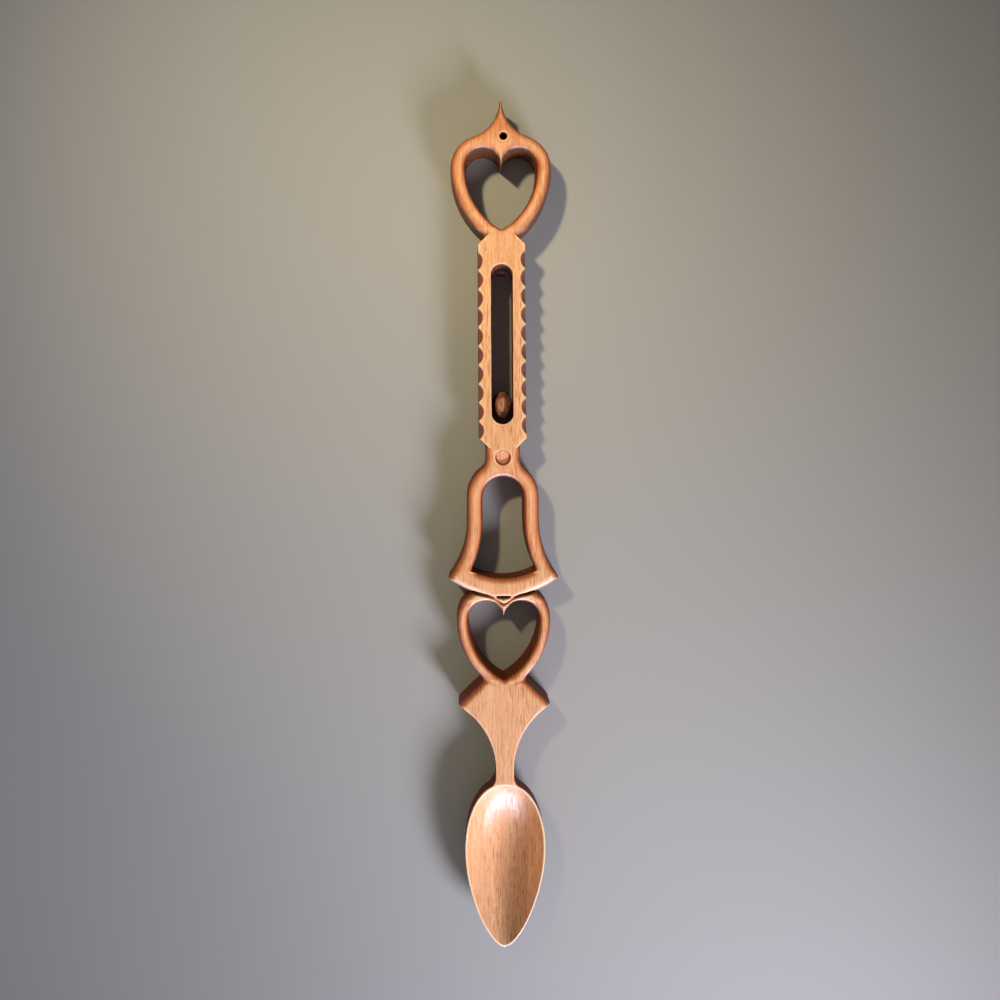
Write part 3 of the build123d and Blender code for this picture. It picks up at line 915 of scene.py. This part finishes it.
# %% Geometry Nodes: uneven hull of the whittled bead
loose_points = add_node(whittling, "GeometryNodeRealizeInstances", {"Geometry": rings}).outputs[0]
shrink = add_node(whittling, "FunctionNodeRandomValue", {"Seed": whittle["Seed"]}, data_type="FLOAT").outputs[1]
shrink_share = calc(whittling, "SUBTRACT", 1.0, product(whittling, shrink, whittle["Unevenness"]))
point_place = add_node(whittling, "GeometryNodeInputPosition").outputs[0]
uneven_place = vector_calc(whittling, "SCALE", {0: point_place, "Scale": shrink_share})
uneven = add_node(
    whittling, "GeometryNodeSetPosition", {"Geometry": loose_points, "Position": uneven_place}
).outputs[0]
facets = add_node(whittling, "GeometryNodeConvexHull", {"Geometry": uneven}).outputs[0]
placed = add_node(
    whittling, "GeometryNodeTransform", {"Geometry": facets, "Translation": whittle["Middle"]}
).outputs[0]
bead_whole = add_node(whittling, "GeometryNodeRealizeInstances", {"Geometry": placed}).outputs[0]
bead_done = add_node(
    whittling, "GeometryNodeSetMaterial", {"Geometry": bead_whole, "Material": whittle["Material"]}
).outputs[0]
whittling.links.new(bead_done, whittled["Geometry"])
print("whittling tree:", len(whittling.nodes), "nodes")

# %% [markdown]
# ## Whittle the bead
#
# The hull is made plain first, because its few large facets need an even skin before the knife can mark them. Then
# the spoon's own carving tree runs on it with other inputs: many short strokes, no cuts and no drift, and a channel
# height far away, so that no point of the bead counts as the channel's wall.

# %% Whittle the bead
bead_voxel = 0.0002
bead_share = 0.95
far_channel = 1.0

bead = bpy.data.objects.new("whittled_bead", bpy.data.meshes.new("whittled_bead"))
scene.collection.objects.link(bead)
bead_sizes = {"Length": bead_size.y, "Diameter": bead_share * bead_size.x, "Middle": bead_middle}
add_tree(bead, "whittling", whittling, {**bead_sizes, "Material": bead_wood})
make_plain(bead)
add_skin(bead, bead_voxel)
add_tree(
    bead,
    "hand carving",
    carving,
    {
        "Cut Depth": 0.0,
        "Drift": 0.0,
        "Channel Height": far_channel,
        "Stroke Depth": 0.0004,
        "Stroke Count": (900.0, 500.0, 900.0),
        "Softening": 4,
        "Material": bead_wood,
    },
)
make_plain(bead)
print("whittled bead:", len(bead.data.polygons), "faces")

# %% [markdown]
# ## Hand the pieces over
#
# Each piece rides on the body that moves it and hides the plain solid that it stands for. The spoon and the bead are
# two bodies, because the bead slides along its cage.

# %% Bodies of the pieces
for piece, body, solid, slot_name in (
    (spoon, "spoon", "carved_spoon", "carved_wood"),
    (bead, "bead", "captive_bead", "bead_wood"),
):
    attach(piece, body)
    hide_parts(solid)
    print(piece.name, "rides on", body, "with", len(piece.data.vertices), "points")
